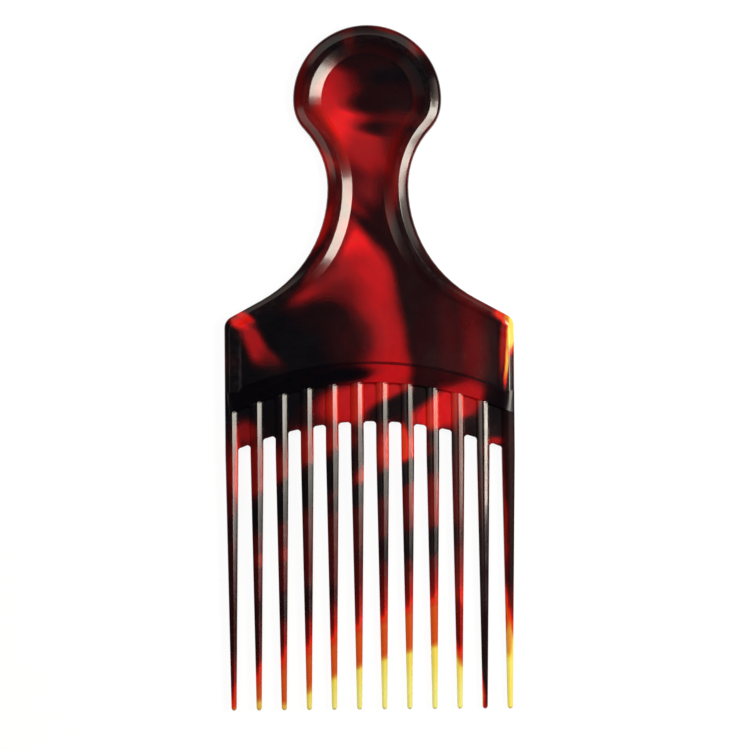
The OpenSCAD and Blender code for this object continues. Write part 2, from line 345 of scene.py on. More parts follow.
@dataclass(frozen=True)
class Shell:
    """Tortoiseshell plastic: its pigment clouds, and its colours from darkest to lightest."""

    # Each cloud: centre, half lengths, turn, tone and softness. Later ones cover earlier ones
    # Clouds of the handle: head, neck, then blade
    handle: tuple[Swirl, ...] = (
        Swirl(-7.2, 66.5, 12.4, 8.9, 90, 0.44, 0.6), Swirl(-5.8, 58.5, 10.9, 5.0, 62, 0.51, 0.5),
        Swirl(0.1, 52.0, 8.4, 6.5, 90, 0.42, 0.5), Swirl(19.7, 74.7, 23.4, 11.9, 8, 0.02, 0.33),
        Swirl(6.7, 66.6, 11.4, 3.7, 2, 0.08, 0.35), Swirl(9.1, 60.9, 9.9, 3.0, 0, 0.2, 0.7),
        Swirl(6.1, 58.9, 7.5, 2.0, -4, 0.08, 0.5), Swirl(7.8, 52.5, 7.5, 4.5, 92, 0.25, 0.8),
        Swirl(-1.7, 76.4, 7.5, 2.5, -6, 0.1, 0.6), Swirl(1.3, 79.8, 11.4, 3.7, 0, 0.05, 0.5),
        Swirl(-8.6, 79.9, 3.5, 1.7, 25, 0.01, 0.6), Swirl(-4.1, 80.9, 1.7, 2.2, 0, 0.21, 0.8),
        Swirl(5.8, 83.0, 3.5, 1.0, -14, 0.24, 0.8), Swirl(12.2, 77.8, 3.0, 1.7, -48, 0.25, 0.7),
        Swirl(14.2, 73.8, 3.0, 2.5, -60, 0.02, 0.6), Swirl(-15.7, 68.6, 8.9, 2.0, 84, 0.26, 0.8),
        Swirl(-12.6, 75.0, 4.0, 2.2, 50, 0.12, 0.7), Swirl(-9.3, 54.6, 10.9, 2.2, -60, 0.38, 0.6),
        Swirl(-13.8, 58.1, 8.4, 1.5, -52, 0.24, 0.7), Swirl(-1.5, 44.1, 10.9, 5.0, 90, 0.38, 0.6),
        Swirl(1.5, 40.1, 9.4, 2.7, -56, 0.09, 0.7), Swirl(1.0, 44.1, 5.0, 4.0, 0, 0.28, 0.8),
        Swirl(1.9, 33.6, 7.5, 1.7, -42, 0.08, 0.6), Swirl(7.4, 36.1, 10.9, 3.0, -70, 0.1, 0.6),
        Swirl(-3.6, 30.9, 6.5, 3.5, -58, 0.52, 0.5), Swirl(-1.4, 25.2, 9.4, 5.5, -62, 0.52, 0.5),
        Swirl(-5.9, 20.5, 8.9, 6.0, 40, 0.36, 0.6), Swirl(0.8, 16.7, 10.9, 6.5, -84, 0.43, 0.5),
        Swirl(2.7, 5.5, 11.4, 6.5, -92, 0.41, 0.4), Swirl(5.6, -1.2, 5.5, 4.0, 0, 0.42, 0.5),
        Swirl(18.0, 20.8, 22.9, 9.9, -70, 0.08, 0.16),
        Swirl(22.1, 4.1, 15.4, 12.4, 90, 0.12, 0.14), Swirl(-10.8, 26.3, 10.9, 2.0, 56, 0.28, 0.7),
        Swirl(-11.0, 35.2, 6.5, 1.5, 66, 0.38, 0.7), Swirl(6.3, 45.0, 7.5, 1.5, 86, 0.34, 0.7),
        Swirl(-15.4, 15.6, 7.0, 2.5, 33, 0.43, 0.7), Swirl(-7.6, 17.8, 5.5, 4.0, 0, 0.26, 0.8),
        Swirl(-25.6, 9.5, 11.9, 5.5, 14, 0.01, 0.5), Swirl(-16.7, 6.0, 10.9, 6.5, -6, 0.01, 0.5),
        Swirl(-10.7, 12.4, 6.0, 4.0, 0, 0.05, 0.6), Swirl(-26.7, -6.9, 13.9, 7.5, 0, 0.01, 0.4),
        Swirl(-4.8, 6.8, 5.0, 6.5, 0, 0.13, 0.8), Swirl(-28.1, 6.0, 8.0, 2.5, -61, 0.4, 0.6),
        Swirl(-30.5, 13.0, 2.5, 1.2, -30, 0.47, 0.6), Swirl(-32.0, 11.3, 2.2, 1.5, -20, 0.49, 0.6),
        Swirl(-24.2, 1.5, 3.5, 2.0, -50, 0.28, 0.7), Swirl(25.8, 4.1, 10.9, 3.0, 92, 0.25, 0.9),
        Swirl(19.6, 6.6, 9.9, 2.2, 92, 0.16, 0.8), Swirl(27.6, 15.3, 7.5, 1.0, -28, 0.22, 0.8),
        Swirl(32.8, 12.5, 2.0, 1.0, -24, 0.56, 0.6), Swirl(33.5, 5.3, 8.0, 0.7, 90, 0.36, 0.8),
        Swirl(34.8, 11.5, 1.7, 1.5, -20, 0.72, 0.5), Swirl(35.4, 8.0, 5.5, 1.2, 90, 0.78, 0.35),
        Swirl(35.5, 8.7, 4.2, 0.9, 90, 0.88, 0.3), Swirl(34.7, 0.1, 6.0, 0.5, 90, 0.84, 0.5))
    # Clouds of the comb back and the webs
    middle: tuple[Swirl, ...] = (
        Swirl(-26.7, -6.9, 13.9, 7.5, 0, 0.01, 0.4), Swirl(-17.3, -5.5, 16.4, 3.0, 14, 0.01, 0.4),
        Swirl(-7.8, -2.1, 7.0, 2.0, 10, 0.01, 0.5), Swirl(-1.9, -9.1, 12.4, 5.5, 4, 0.42, 0.35),
        Swirl(4.1, -5.6, 5.5, 2.5, 0, 0.42, 0.6), Swirl(7.0, -10.1, 8.4, 2.5, 24, 0.03, 0.5),
        Swirl(16.5, -11.7, 6.5, 3.5, 30, 0.45, 0.4), Swirl(20.9, -10.3, 5.5, 5.0, 0, 0.45, 0.4),
        Swirl(25.4, -7.3, 4.5, 3.5, 0, 0.4, 0.5), Swirl(-31.3, -15.8, 3.2, 3.0, 0, 0.3, 0.6),
        Swirl(32.4, -10.4, 3.0, 6.5, 0, 0.02, 0.7), Swirl(31.6, -18.1, 1.7, 1.0, 0, 0.36, 0.6),
        Swirl(26.4, -15.3, 3.5, 2.5, -30, 0.05, 0.5))
    # Clouds of the teeth, then of the tips
    comb: tuple[Swirl, ...] = (
        Swirl(0.3, -44.9, 47.2, 27.8, 0, 0.17, 0.18), Swirl(-28.6, -25.3, 9.9, 7.5, 0, 0.28, 0.4),
        Swirl(-11.2, -19.4, 8.4, 5.5, 0, 0.32, 0.4), Swirl(-33.3, -24.7, 7.5, 0.7, 90, 0.42, 0.6),
        Swirl(7.0, -20.1, 6.5, 5.0, 0, 0.42, 0.5), Swirl(14.3, -33.1, 7.0, 6.0, 0, 0.27, 0.5),
        Swirl(8.7, -19.6, 5.0, 0.7, 90, 0.56, 0.6), Swirl(-2.0, -26.5, 2.5, 3.0, 0, 0.34, 0.5),
        Swirl(-18.5, -30.8, 20.4, 4.2, 33, 0.02, 0.4), Swirl(3.9, -28.5, 15.4, 2.5, 22, 0.03, 0.5),
        Swirl(13.2, -43.5, 13.9, 3.0, 10, 0.04, 0.5),
        Swirl(-17.7, -58.6, 11.9, 3.5, 12, 0.08, 0.6), Swirl(-27.8, -48.1, 2.0, 1.5, 0, 0.25, 0.6),
        Swirl(-21.3, -46.2, 2.0, 1.7, 0, 0.23, 0.6), Swirl(-33.6, -57.5, 5.0, 14.9, 0, 0.12, 0.5),
        Swirl(22.3, -55.5, 14.9, 2.5, 90, 0.19, 0.5), Swirl(22.6, -25.7, 12.4, 2.0, 90, 0.18, 0.6),
        Swirl(22.0, -96.2, 67.5, 45.1, 10.4, 0.29, 0.12),
        Swirl(24.3, -82.2, 66.8, 25.5, 12.2, 0.66, 0.1),
        Swirl(19.9, -91.1, 54.6, 22.7, 12.4, 0.9, 0.06),
        Swirl(-27.4, -87.9, 9.9, 5.5, 0, 0.84, 0.2),
        Swirl(11.7, -105.1, 37.3, 28.8, 0, 0.98, 0.14),
        Swirl(22.2, -63.9, 8.4, 2.2, 90, 0.26, 0.4), Swirl(28.7, -63.0, 29.8, 2.2, 90, 0.08, 0.3),
        Swirl(35.4, -38.2, 24.8, 1.2, 90, 0.1, 0.5), Swirl(33.2, -43.2, 20.9, 0.5, 90, 0.31, 0.6),
        Swirl(28.8, -85.9, 2.0, 2.0, 0, 0.3, 0.5), Swirl(34.8, -81.4, 14.9, 2.7, 90, 0.92, 0.12),
        Swirl(34.1, -68.0, 4.0, 1.0, 90, 0.8, 0.5))
    # Tone, and the colour that the plastic has at it
    colours: tuple[tuple[float, tuple[int, int, int]], ...] = (
        (0.00, (0, 3, 8)), (0.12, (36, 5, 9)), (0.25, (92, 5, 10)), (0.40, (166, 11, 17)),
        (0.50, (240, 8, 19)), (0.62, (212, 57, 18)), (0.72, (219, 107, 30)),
        (0.80, (226, 150, 57)), (0.88, (251, 224, 82)), (1.00, (253, 250, 144)))
    # Noises that push the clouds about: scale, octaves and reach in millimetres
    drifts: tuple[Triple, ...] = ((0.045, 1.0, 4.0), (0.21, 2.0, 0.8))
    # How fast the pattern changes through the thickness, next to how it does across
    depth_share: float = 0.35
    # Half height of a cloud, which so goes through the whole thickness
    cloud_height: float = 1000.0
    # Streaks of the ground that the clouds lie on: size, turn in degrees, octaves, the noise
    # that counts and the tones that it gives
    streak_size: Triple = (20.0, 6.0, 10.0)
    streak_turn: float = -65.0
    streak_octaves: float = 2.0
    streak_noise: Pair = (0.42, 0.75)
    streak_tones: Pair = (0.02, 0.2)
    # Fine threads in the colour: scale, octaves and roughness, and how far they shift the tone
    threads: Triple = (0.55, 4.0, 0.6)
    grain: float = 0.02

    def tone_group(self, zone: Zone) -> ShaderGroup:
        """Builds the group that gives the plastic's tone at a place in millimetres.

        Args:
            zone: The part of the moulding that it is for.

        Returns:
            The group, with Place in and Tone out.
        """
        swirls = self.handle + self.middle if zone is Zone.HANDLE else self.middle + self.comb
        group = ShaderGroup(zone.value, {"Place": (Socket.VECTOR, ORIGIN)},
                            {"Tone": Socket.VALUE})
        place = group.vector("MULTIPLY", group.given["Place"], (1.0, 1.0, self.depth_share))
        moved = place
        for scale, octaves, reach in self.drifts:
            swing = group.noise(place, scale, octaves).outputs["Color"]
            swing = group.vector("SUBTRACT", swing, (0.5, 0.5, 0.5))
            moved = group.vector("MULTIPLY_ADD", swing, (reach, reach, 0.0), moved)
        streaks = group.laid(moved, self.streak_size, self.streak_turn)
        ground = group.noise(streaks, 1.0, self.streak_octaves).outputs["Fac"]
        tone = group.ranged(ground, *self.streak_noise, *self.streak_tones)
        for swirl in swirls:
            local = group.laid(moved, (swirl.long, swirl.short, self.cloud_height), swirl.turn,
                               (swirl.x, swirl.y))
            away = group.node("ShaderNodeVectorMath", {0: local}, operation="LENGTH")
            mask = group.ranged(away.outputs["Value"], 1 + swirl.soft, 1 - swirl.soft)
            tone = group.blend(mask, tone, swirl.tone)
        thread = group.noise(moved, *self.threads).outputs["Fac"]
        shift = group.math("MULTIPLY_ADD", thread, 2 * self.grain, -self.grain)
        group.give("Tone", group.math("ADD", tone, shift, clamp=True))
        return group

    def colour_group(self) -> ShaderGroup:
        """Builds the group that turns a tone into the plastic's colour.

        Returns:
            The group, with Tone in and Color out.
        """
        group = ShaderGroup("Shell colours", {"Tone": (Socket.VALUE, 0.5)},
                            {"Color": Socket.COLOUR})
        ramp = group.node("ShaderNodeValToRGB", {"Fac": group.given["Tone"]})
        stops = ramp.color_ramp.elements
        while len(stops) < len(self.colours):
            stops.new(0.5)
        for stop, (tone, colour) in zip(stops, self.colours):
            stop.position = tone
            stop.color = linear(*colour)
        group.give("Color", ramp.outputs["Color"])
        return group


@dataclass(frozen=True)
class MarksAndPaintedLight:
    """Marks of use that every finish shares: hairlines, smudges, dust and rubbed edges. It also
    holds the masks of a painted shade at the comb back's step and of a painted glow on thin faces
    turned to the lamps.

    Lengths are in millimetres. A pair is where a mask starts and where it is full, unless its
    comment says otherwise.
    """

    # Hairlines: width, reach in depth, turn in degrees and stretch of each set, and the noise
    # that counts
    hairline: float = 0.16
    hairline_depth: float = 2.5
    hairline_sets: tuple[Pair, ...] = ((12, 60), (-38, 40), (71, 50))
    hairline_noise: Pair = (0.68, 0.78)
    # Smudges: size, octaves, roughness, and noise that counts
    smudge_size: float = 9.0
    smudge_octaves: float = 4.0
    smudge_roughness: float = 0.6
    smudge_noise: Pair = (0.4, 0.7)
    # Dust: specks for each millimetre, and radius in shares of their spacing
    dust_scale: float = 1.4
    dust_radius: Pair = (0.07, 0.03)
    # Rubbed edges: the moulding's thickness, depth of the wear, scale and octaves of its
    # patches, and noise that counts
    thickness: float = 4.4
    rubbed: float = 0.12
    patches: Pair = (0.7, 3.0)
    patch_noise: Pair = (0.35, 0.65)
    # Depths below the top face where the plastic thins, and where the comb back steps down and
    # gets a painted shade line
    lean: Pair = (0.15, 0.8)
    shade_step_top: Pair = (0.01, 0.05)
    shade_step_foot: Pair = (0.25, 0.17)
    # How far a face has to turn to the right, towards the lamps, to get a painted glow
    painted_glow_turn: Pair = (0.1, 0.35)

    def scratch_group(self) -> ShaderGroup:
        """Builds the group of fine scratches.

        Returns:
            The group, with Place and Amount in and Scratches out.
        """
        group = ShaderGroup("Hairline scratches", {"Place": (Socket.VECTOR, ORIGIN),
                                                   "Amount": (Socket.VALUE, 1.0)},
                            {"Scratches": Socket.VALUE})
        lines = []
        for turn, stretch in self.hairline_sets:
            size = (self.hairline * stretch, self.hairline, self.hairline_depth)
            strands = group.noise(group.laid(group.given["Place"], size, turn), 1.0, 0.0)
            lines.append(group.ranged(strands.outputs["Fac"], *self.hairline_noise))
        worn = group.math("MAXIMUM", group.math("MAXIMUM", lines[0], lines[1]), lines[2])
        group.give("Scratches", group.math("MULTIPLY", worn, group.given["Amount"], clamp=True))
        return group

    def smudge_group(self) -> ShaderGroup:
        """Builds the group of finger smudges and dust.

        Returns:
            The group, with Place in, and Smudge and Dust out.
        """
        group = ShaderGroup("Smudges and dust", {"Place": (Socket.VECTOR, ORIGIN)},
                            {"Smudge": Socket.VALUE, "Dust": Socket.VALUE})
        place = group.given["Place"]
        cloud = group.noise(place, 1 / self.smudge_size, self.smudge_octaves,
                            self.smudge_roughness)
        group.give("Smudge", group.ranged(cloud.outputs["Fac"], *self.smudge_noise))
        specks = group.node("ShaderNodeTexVoronoi", {"Vector": place, "Scale": self.dust_scale})
        group.give("Dust", group.ranged(specks.outputs["Distance"], *self.dust_radius))
        return group

    def wear_and_painted_light_group(self) -> ShaderGroup:
        """Builds the group that finds edges: those that rub, and those where the plastic thins. It
        also gives the masks of painted shade and painted glow.

        Returns:
            The group, with Place in. Wear is the rubbed edges, Lean is how thin the plastic gets,
            Step shade is the band under the comb back's top edge that gets a painted shade, and
            Painted glow is the thin faces that turn to the right, towards the lamps, which get a
            painted glow.
        """
        group = ShaderGroup("Rubbed and thin edges, painted shade and painted glow", {"Place": (Socket.VECTOR, ORIGIN)},
                            {label: Socket.VALUE for label in ("Wear", "Lean", "Step shade", "Painted glow")})
        place, half = group.given["Place"], self.thickness / 2
        proud = group.math("ABSOLUTE", group.math("SUBTRACT", group.part(place, "Z"), half))
        edge = group.ranged(proud, half - self.rubbed, half)
        patchy = group.ranged(group.noise(place, *self.patches).outputs["Fac"], *self.patch_noise)
        group.give("Wear", group.math("MULTIPLY", edge, patchy, clamp=True))
        fall = group.math("SUBTRACT", half, proud)
        lean = group.ranged(fall, *self.lean, soft=False)
        group.give("Lean", lean)
        # Painted glow: thin faces that turn to the right, towards the lamps, get a mask that
        # lightens them
        right = group.part(group.node("ShaderNodeNewGeometry").outputs["Normal"], "X")
        group.give("Painted glow", group.math("MULTIPLY", lean, group.ranged(right, *self.painted_glow_turn)))
        # Painted shade: the band just under the top face, where the comb back steps down, gets a
        # mask that darkens it
        below, above = group.ranged(fall, *self.shade_step_top), group.ranged(fall, *self.shade_step_foot)
        group.give("Step shade", group.math("MULTIPLY", below, above))
        return group


@dataclass(frozen=True)
class FinishAndPaintedLight:
    """How one region of the moulding is finished, and the painted shade and painted glow that it
    gets.

    Depth darkens the rim where it is thick. Thin, step shade, lit and warm are how much the
    plastic lightens where it thins, takes a painted shade at the comb back's step, takes a painted
    glow on thin faces turned to the lamps on the right, and warms in hue. Worn is the share of the
    rubbing that shows.
    """

    name: str
    zone: Zone
    roughness: float
    scratches: float
    ripple: float = 0.002
    depth: float = 0.0
    coat: float = 0.5
    specular: float = 0.8
    thin: float = 0.0
    step: float = 0.0
    lit: float = 0.0
    warm: float = 0.0
    worn: float = 1.0


@dataclass(frozen=True)
class Optics:
    """How light and use act on every region. Lengths are in millimetres."""

    # Places up the pick between which the rim gets thick
    thick: Pair = (12.0, 34.0)
    # Tones at which the painted glow on faces turned to the lamps starts, and at which it stops
    painted_glow_start: Pair = (0.05, 0.3)
    painted_glow_stop: Pair = (0.62, 0.45)
    # Tones between which the warmer hue fades out, and the hue that shifts nothing
    warm_end: Pair = (0.5, 0.75)
    hue: float = 0.5
    # Share of the dust's colour on rubbed edges, dust and scratches
    rubbed_pale: float = 0.006
    dust_pale: float = 0.02
    scratch_pale: float = 0.004
    dust: tuple[int, int, int] = (196, 176, 170)
    # What smudges, scratches and rubbed edges add to the roughness
    smudge_rough: float = 0.07
    scratch_rough: float = 0.08
    rubbed_rough: float = 0.05
    # Height of a scratch, and scale and octaves of the ripples
    scratch_height: float = -0.001
    ripples: Pair = (0.35, 2.0)
    ior: float = 1.5
    coat_roughness: float = 0.08


class Plastic:
    """Makes the glossy tortoiseshell materials from the shared groups."""

    def __init__(self, shell: Shell, marks_and_light: MarksAndPaintedLight, optics: Optics) -> None:
        """Builds each shared group once.

        Args:
            shell: Pigment clouds and colours.
            marks_and_light: Marks of use, and the masks of painted shade and painted glow.
            optics: How light and use act.
        """
        self.tones = {zone: shell.tone_group(zone) for zone in Zone}
        self.colour = shell.colour_group()
        self.scratch = marks_and_light.scratch_group()
        self.smudge = marks_and_light.smudge_group()
        self.wear_and_painted_light = marks_and_light.wear_and_painted_light_group()
        self.optics = optics

    def clarity(self, graph: Graph, finish_and_light: FinishAndPaintedLight, place: bpy.types.NodeSocket,
                edges: bpy.types.Node) -> bpy.types.NodeSocket:
        """Gives the tone of the plastic with what its thickness and its edges do to it, and with
        painted shade at the comb back's step and painted glow on faces turned to the lamps.

        Args:
            graph: The material's graph.
            finish_and_light: How the region is finished, with its painted shade and painted glow.
            place: Place in millimetres.
            edges: The node of the group that finds edges and gives the masks of painted shade and
                painted glow.

        Returns:
            The tone.
        """
        optics, edge = self.optics, edges.outputs
        tone = self.tones[finish_and_light.zone].place(graph, Place=place).outputs["Tone"]
        thick = graph.ranged(graph.part(place, "Y"), *optics.thick, 1.0, 1.0 - finish_and_light.depth)
        clear = graph.math("MULTIPLY_ADD", edge["Lean"], finish_and_light.thin,
                           graph.math("MULTIPLY", tone, thick))
        # Painted shade: the band under the comb back's top edge is made darker
        step_shaded = graph.math("MULTIPLY_ADD", edge["Step shade"], -finish_and_light.step, 1.0)
        clear = graph.math("MULTIPLY", clear, step_shaded)
        # Painted glow: thin faces turned to the lamps on the right are made lighter, at middle
        # tones only
        glow = graph.math("MULTIPLY", graph.ranged(clear, *optics.painted_glow_start),
                          graph.ranged(clear, *optics.painted_glow_stop))
        glow = graph.math("MULTIPLY", glow, edge["Painted glow"])
        return graph.math("MULTIPLY_ADD", glow, finish_and_light.lit, clear)

    def tint(self, graph: Graph, finish_and_light: FinishAndPaintedLight, clear: bpy.types.NodeSocket,
             pale: bpy.types.NodeSocket) -> bpy.types.NodeSocket:
        """Gives the colour of the plastic with its dust and wear.

        Args:
            graph: The material's graph.
            finish_and_light: How the region is finished.
            clear: Tone of the plastic.
            pale: Share of the dust's colour.

        Returns:
            The colour.
        """
        optics = self.optics
        colour = self.colour.place(graph, Tone=clear).outputs["Color"]
        hue = graph.ranged(clear, *optics.warm_end, optics.hue + finish_and_light.warm, optics.hue)
        warmed = graph.node("ShaderNodeHueSaturation", {"Hue": hue, "Color": colour})
        dusty = graph.node("ShaderNodeMix", {0: pale, 6: warmed.outputs["Color"],
                                             7: linear(*optics.dust)}, data_type="RGBA")
        return dusty.outputs[2]

    def material(self, finish_and_light: FinishAndPaintedLight) -> bpy.types.Material:
        """Makes the material of one region.

        Args:
            finish_and_light: How the region is finished, with its painted shade and painted glow.

        Returns:
            The material.
        """
        made, optics = bpy.data.materials.new(finish_and_light.name), self.optics
        graph = blank_graph(made)
        where = graph.node("ShaderNodeTexCoord").outputs["Object"]
        place = graph.vector("MULTIPLY", where, (MM_IN_METRE,) * 3)
        edges = self.wear_and_painted_light.place(graph, Place=place)
        lines = self.scratch.place(graph, Place=place, Amount=finish_and_light.scratches)
        lines = lines.outputs["Scratches"]
        marks = self.smudge.place(graph, Place=place).outputs
        rubbed = graph.math("MULTIPLY", edges.outputs["Wear"], finish_and_light.worn)
        pale = graph.math("MAXIMUM", graph.math("MULTIPLY", rubbed, optics.rubbed_pale),
                          graph.math("MULTIPLY", marks["Dust"], optics.dust_pale))
        pale = graph.math("MAXIMUM", pale, graph.math("MULTIPLY", lines, optics.scratch_pale))
        clear = self.clarity(graph, finish_and_light, place, edges)
        rough = graph.math("MULTIPLY_ADD", marks["Smudge"], optics.smudge_rough, finish_and_light.roughness)
        rough = graph.math("MULTIPLY_ADD", lines, optics.scratch_rough, rough)
        rough = graph.math("MULTIPLY_ADD", rubbed, optics.rubbed_rough, rough, clamp=True)
        waves = graph.noise(place, *optics.ripples).outputs["Fac"]
        height = graph.math("MULTIPLY_ADD", lines, optics.scratch_height,
                            graph.math("MULTIPLY", waves, finish_and_light.ripple))
        bump = graph.node("ShaderNodeBump", {"Strength": 1.0, "Distance": MM, "Height": height})
        shader = graph.node("ShaderNodeBsdfPrincipled", {
            "Base Color": self.tint(graph, finish_and_light, clear, pale), "Roughness": rough,
            "Normal": bump.outputs[0], "IOR": optics.ior, "Specular IOR Level": finish_and_light.specular,
            "Coat Weight": finish_and_light.coat, "Coat Roughness": optics.coat_roughness,
            "Coat IOR": optics.ior})
        graph.node("ShaderNodeOutputMaterial", {"Surface": shader.outputs[0]})
        return made


@dataclass(frozen=True)
class Region:
    """One region of the moulding: a merged copy of its CAD node, with soft edges.

    An edge stays sharp from the crease angle on, and points closer than weld are merged.
    """

    node: str
    name: str
    slot: Slot
    crease: float = math.radians(34)
    weld: float = 0.002 * MM
    # How much large faces outweigh small ones when the shading is evened out
    shading_weight: int = 90

    def build(self, material: bpy.types.Material) -> bpy.types.Object:
        """Makes the piece in place of its CAD node.

        Args:
            material: The region's material.

        Returns:
            The finished piece.
        """
        shape = bmesh.new()
        shape.from_mesh(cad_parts[self.node].data)
        bmesh.ops.remove_doubles(shape, verts=shape.verts, dist=self.weld)
        for face in shape.faces:
            face.smooth = True
        for edge in shape.edges:
            edge.smooth = edge.calc_face_angle(0.0) < self.crease
        mesh = bpy.data.meshes.new(self.name)
        shape.to_mesh(mesh)
        shape.free()
        mesh.materials.append(material)
        piece = linked(self.name, mesh)
        shading = piece.modifiers.new("even_shading", "WEIGHTED_NORMAL")
        shading.keep_sharp = True
        shading.weight = self.shading_weight
        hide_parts(self.node)
        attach(piece, Body.ROOT.value)
        return piece


@dataclass(frozen=True)
class Handle:
    """The grip: a rim round a sunk panel, from the head down to the shoulders."""

    rim: Region = Region("handle_rim", "shell_handle_rim", Slot.DARK)
    panel: Region = Region("handle_panel", "shell_handle_panel", Slot.RED)
    rim_polish: FinishAndPaintedLight = FinishAndPaintedLight("Polished rim", Zone.HANDLE, roughness=0.14, scratches=0.3,
                                ripple=0.003, depth=0.2, thin=0.08, warm=0.0015)
    panel_polish: FinishAndPaintedLight = FinishAndPaintedLight("Sunk panel", Zone.HANDLE, roughness=0.15, scratches=0.35)

    def build(self, plastic: Plastic) -> list[bpy.types.Object]:
        """Builds the rim and the panel.

        Args:
            plastic: Maker of the materials.

        Returns:
            The two pieces.
        """
        return [self.rim.build(plastic.material(self.rim_polish)),
                self.panel.build(plastic.material(self.panel_polish))]


@dataclass(frozen=True)
class CombBack:
    """The band that carries the teeth, and the webs between their roots."""

    band: Region = Region("comb_back", "shell_comb_back", Slot.DARK)
    webs: Region = Region("tooth_web", "shell_tooth_webs", Slot.RED)
    # The band gets a painted shade line under its top edge
    band_finish_and_shade: FinishAndPaintedLight = FinishAndPaintedLight("Comb back", Zone.HANDLE, roughness=0.15, scratches=0.2,
                                 coat=0.1, specular=0.35, step=0.4, worn=0.0)
    web_polish: FinishAndPaintedLight = FinishAndPaintedLight("Webs", Zone.COMB, roughness=0.16, scratches=0.3)

    def build(self, plastic: Plastic) -> list[bpy.types.Object]:
        """Builds the band and the webs.

        Args:
            plastic: Maker of the materials.

        Returns:
            The two pieces.
        """
        return [self.band.build(plastic.material(self.band_finish_and_shade)),
                self.webs.build(plastic.material(self.web_polish))]


@dataclass(frozen=True)
class ToothRow:
    """The row of long tapering teeth, each a piece of its own."""

    count: int = 12
    crease: float = math.radians(20)
    # All but the last tooth get a painted glow on thin faces that turn to the lamps on the right
    finish_and_light: FinishAndPaintedLight = FinishAndPaintedLight("Teeth", Zone.COMB, roughness=0.14, scratches=0.4, coat=0.3,
                            specular=0.65, lit=0.15, warm=0.003)
    bright: FinishAndPaintedLight = FinishAndPaintedLight("Brightest tooth", Zone.COMB, roughness=0.1, scratches=0.4,
                            coat=1.0, specular=1.0, lit=0.15, warm=0.003)
    dull: FinishAndPaintedLight = FinishAndPaintedLight("End tooth", Zone.COMB, roughness=0.3, scratches=0.4, coat=0.0,
                          specular=0.12, warm=0.003)

    def build(self, plastic: Plastic) -> list[bpy.types.Object]:
        """Builds every tooth. The last two on the right have finishes of their own.

        Args:
            plastic: Maker of the materials.

        Returns:
            The teeth, from left to right.
        """
        usual = plastic.material(self.finish_and_light)
        last = [plastic.material(self.bright), plastic.material(self.dull)]
        materials = [usual] * (self.count - len(last)) + last
        teeth = []
        for number, material in enumerate(materials, 1):
            node = f"tooth_{number:02d}"
            tooth = Region(node, f"shell_{node}", Slot.TOOTH, self.crease)
            teeth.append(tooth.build(material))
        return teeth


@dataclass(frozen=True)
class Table:
    """The white table that the pick lies on. It is see-through from below."""

    # Half its length, and how far it lies under the pick
    reach: float = 3.0
    drop: float = 0.05 * MM
    # Its white as the camera sees it: light of its own, and a little grey that takes the shadow
    glow: float = 0.89
    shadow_grey: float = 0.16
    # Its grey to all other light
    diffuse: float = 0.5
    # A surface closer than this is lit by the table's white, but does not mirror it
    close: float = 1.5 * MM

    def build(self) -> bpy.types.Object:
        """Builds the table top.

        Returns:
            The table, marked as stage.
        """
        shape = bmesh.new()
        bmesh.ops.create_grid(shape, x_segments=1, y_segments=1, size=self.reach)
        bmesh.ops.translate(shape, verts=shape.verts, vec=(0.0, 0.0, -self.drop))
        mesh = bpy.data.meshes.new("table")
        shape.to_mesh(mesh)
        shape.free()
        table = linked("table", mesh)
        mesh.materials.append(self.material())
        return table

    def material(self) -> bpy.types.Material:
        """Makes the table's white, which is the background and keeps the pick's shadow.

        Returns:
            The material.
        """
        made = bpy.data.materials.new("Table white")
        graph = blank_graph(made)
        rays = graph.node("ShaderNodeLightPath").outputs
        close = graph.math("LESS_THAN", rays["Ray Length"], self.close)
        mirrored = graph.math("MULTIPLY", rays["Is Glossy Ray"],
                              graph.math("SUBTRACT", 1.0, close))
        lit = graph.math("MULTIPLY", rays["Is Diffuse Ray"], close)
        seen = graph.math("MAXIMUM", rays["Is Camera Ray"], mirrored)
        seen = graph.math("MAXIMUM", seen, lit)
        plain = graph.node("ShaderNodeBsdfDiffuse", {"Color": grey(self.diffuse)})
        faint = graph.node("ShaderNodeBsdfDiffuse", {"Color": grey(self.shadow_grey)})
        glow = graph.node("ShaderNodeEmission", {"Color": WHITE, "Strength": self.glow})
        shown = graph.node("ShaderNodeAddShader", {0: faint.outputs[0], 1: glow.outputs[0]})
        front = graph.node("ShaderNodeMixShader", {
            0: seen, 1: plain.outputs[0], 2: shown.outputs[0]})
        clear = graph.node("ShaderNodeBsdfTransparent")
        behind = graph.node("ShaderNodeNewGeometry").outputs["Backfacing"]
        both = graph.node("ShaderNodeMixShader", {
            0: behind, 1: front.outputs[0], 2: clear.outputs[0]})
        graph.node("ShaderNodeOutputMaterial", {"Surface": both.outputs[0]})
        return made


@dataclass(frozen=True)
class Softbox:
    """A rectangular softbox that faces straight down, given by the two ends of its middle line.

    Its ends, width and height over the table are in millimetres.
    """

    name: str
    start: Pair
    end: Pair
    width: float
    radiance: float
    height: float = 262.0
    colour: tuple[int, int, int] = (255, 246, 232)

    def build(self) -> bpy.types.Object:
        """Builds the lamp.

        Returns:
            The lamp.
        """
        first, last = (Vector((*end, self.height)) * MM for end in (self.start, self.end))
        along = (last - first).normalized()
        outward = Vector((0.0, 0.0, 1.0))
        across = outward.cross(along).normalized()
        lamp = bpy.data.lights.new(self.name, "AREA")
        lamp.shape = "RECTANGLE"
        lamp.size = (last - first).length
        lamp.size_y = self.width * MM
        lamp.energy = self.radiance * math.pi * lamp.size * lamp.size_y
        lamp.color = linear(*self.colour)[:3]
        made = linked(self.name, lamp)
        turn = made.matrix_world.copy()
        for row in range(3):
            turn[row][0], turn[row][1], turn[row][2] = along[row], across[row], outward[row]
            turn[row][3] = (first[row] + last[row]) / 2
        made.matrix_world = turn
        return made


